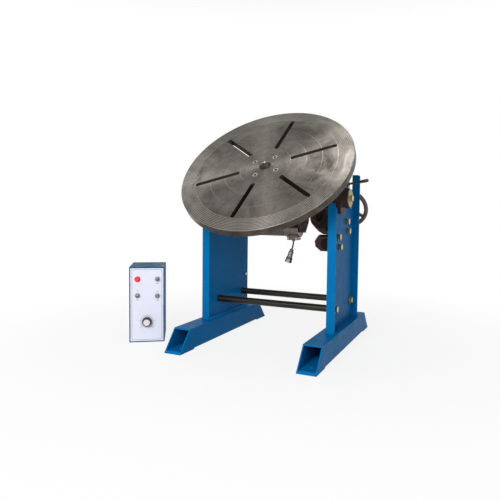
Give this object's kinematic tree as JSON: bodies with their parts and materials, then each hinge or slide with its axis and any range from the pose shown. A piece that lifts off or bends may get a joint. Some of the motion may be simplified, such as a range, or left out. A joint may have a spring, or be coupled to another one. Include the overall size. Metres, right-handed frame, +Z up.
{
  "type": "welding positioner",
  "caption": "Welding positioner with a round slotted table on a motor-driven spindle, tilted between two floor columns by a hand wheel, worm and toothed quadrant, with a separate control box.",
  "frame": {"origin": "on the floor, in the middle of the four anchor holes in the feet", "axes": "+X from the left column to the right column that carries the tilt drive, +Y from the operator's side to the rear, +Z up"},
  "size_m": [0.8567, 0.6631, 0.8271],
  "materials": {
    "blue_paint": "glossy",
    "black_bar": "satin",
    "zinc": "zinc plated",
    "yellow_zinc": "yellow zinc plated",
    "brown_casting": "painted dark brown",
    "tan_casting": "as cast",
    "turned_steel": "face turned",
    "machined_steel": "machined",
    "bearing_steel": "ground",
    "bronze": "machined",
    "motor_silver": "satin",
    "black_plastic": "glossy",
    "black_rubber": "matte",
    "plug_chrome": "polished",
    "box_paint": "satin",
    "panel_paint": "satin",
    "red_lens": "glossy"
  },
  "bodies": {
    "stand": {"left_foot": "blue_paint", "right_foot": "blue_paint", "foot_pads": "blue_paint", "left_column": "blue_paint", "right_column": "blue_paint", "tie_bars": "black_bar", "stand_bolts": "zinc", "stand_washers": "yellow_zinc", "earth_bolt": "zinc", "right_trunnion_housing": "brown_casting", "left_trunnion_housing": "brown_casting", "trunnion_bushes": "bronze", "lock_nut": "zinc", "front_worm_block": "brown_casting", "rear_worm_block": "brown_casting", "worm_bushes": "bronze"},
    "cradle": {"cradle_plate": "brown_casting", "right_arm": "brown_casting", "left_arm": "brown_casting", "cradle_bolts": "zinc", "left_trunnion": "machined_steel", "right_trunnion": "machined_steel", "end_washers": "yellow_zinc", "end_bolts": "zinc", "tilt_quadrant": "brown_casting", "spindle_housing": "brown_casting", "cradle_bearings": "bearing_steel", "drive_case": "tan_casting", "case_cover": "tan_casting", "case_screws": "zinc", "motor_body": "motor_silver", "motor_end_caps": "motor_silver", "motor_screws": "zinc", "terminal_box": "motor_silver", "motor_lead": "black_rubber", "lead_plug": "plug_chrome"},
    "table": {"table_disc": "turned_steel", "table_screws": "black_bar", "spindle": "machined_steel", "spindle_nut": "machined_steel", "drive_wheel": "bronze"},
    "drive_worm": {"drive_worm": "machined_steel"},
    "handwheel": {"tilt_worm_shaft": "machined_steel", "handwheel": "brown_casting", "handwheel_nut": "zinc", "crank_pin": "zinc"},
    "crank_grip": {"crank_grip": "black_plastic"},
    "clamp": {"clamp_lever": "zinc", "lever_grip": "black_plastic"},
    "control_box": {"box_case": "box_paint", "box_panel": "panel_paint", "box_screws": "zinc", "signal_lamp": "red_lens", "toggle_bushes": "zinc", "motor_socket": "zinc", "mains_inlet": "black_plastic"},
    "speed_knob": {"speed_knob": "black_plastic"},
    "power_toggle": {"power_toggle": "plug_chrome"},
    "direction_toggle": {"direction_toggle": "plug_chrome"},
    "mode_toggle": {"mode_toggle": "plug_chrome"}
  },
  "joints": [
    {"name": "table_tilt", "type": "hinge", "parent": "stand", "child": "cradle", "pos_m": [0, -0.018, 0.51], "axis": [1, 0, 0], "range_deg": [-45, 45]},
    {"name": "table_spin", "type": "hinge", "parent": "cradle", "child": "table", "pos_m": [0, -0.018, 0.51], "axis": [0, -0.7071, 0.7071], "continuous": true},
    {"name": "drive_worm_spin", "type": "hinge", "parent": "cradle", "child": "drive_worm", "pos_m": [0, -0.02012, 0.40605], "axis": [1, 0, 0], "continuous": true},
    {"name": "handwheel_turn", "type": "hinge", "parent": "stand", "child": "handwheel", "pos_m": [0.19, 0.03905, 0.38765], "axis": [0, 0.9063, 0.4226], "range_deg": [-3600, 3600]},
    {"name": "crank_grip_spin", "type": "hinge", "parent": "handwheel", "child": "crank_grip", "pos_m": [0.12045, 0.22603, 0.4954], "axis": [0, 0.9063, 0.4226], "continuous": true},
    {"name": "clamp_lever_turn", "type": "hinge", "parent": "stand", "child": "clamp", "pos_m": [0.255, -0.018, 0.5565], "axis": [0, 0, 1], "range_deg": [-60, 90]},
    {"name": "control_box_lift", "type": "slide", "parent": "stand", "child": "control_box", "axis": [0, 0, 1], "range_m": [0, 0.3]},
    {"name": "speed_knob_turn", "type": "hinge", "parent": "control_box", "child": "speed_knob", "pos_m": [-0.392, -0.245, 0.072], "axis": [-0.5592, 0.829, 0], "range_deg": [-135, 135]},
    {"name": "power_toggle_flip", "type": "hinge", "parent": "control_box", "child": "power_toggle", "pos_m": [-0.36216, -0.22487, 0.221], "axis": [0.829, 0.5592, 0], "range_deg": [0, 24]},
    {"name": "direction_toggle_flip", "type": "hinge", "parent": "control_box", "child": "direction_toggle", "pos_m": [-0.41853, -0.26289, 0.164], "axis": [0.829, 0.5592, 0], "range_deg": [0, 24]},
    {"name": "mode_toggle_flip", "type": "hinge", "parent": "control_box", "child": "mode_toggle", "pos_m": [-0.36216, -0.22487, 0.162], "axis": [0.829, 0.5592, 0], "range_deg": [0, 24]}
  ],
  "couplings": [
    {"joint": "drive_worm_spin", "follows": "table_spin", "ratio": -44},
    {"joint": "handwheel_turn", "follows": "table_tilt", "ratio": -80}
  ]
}
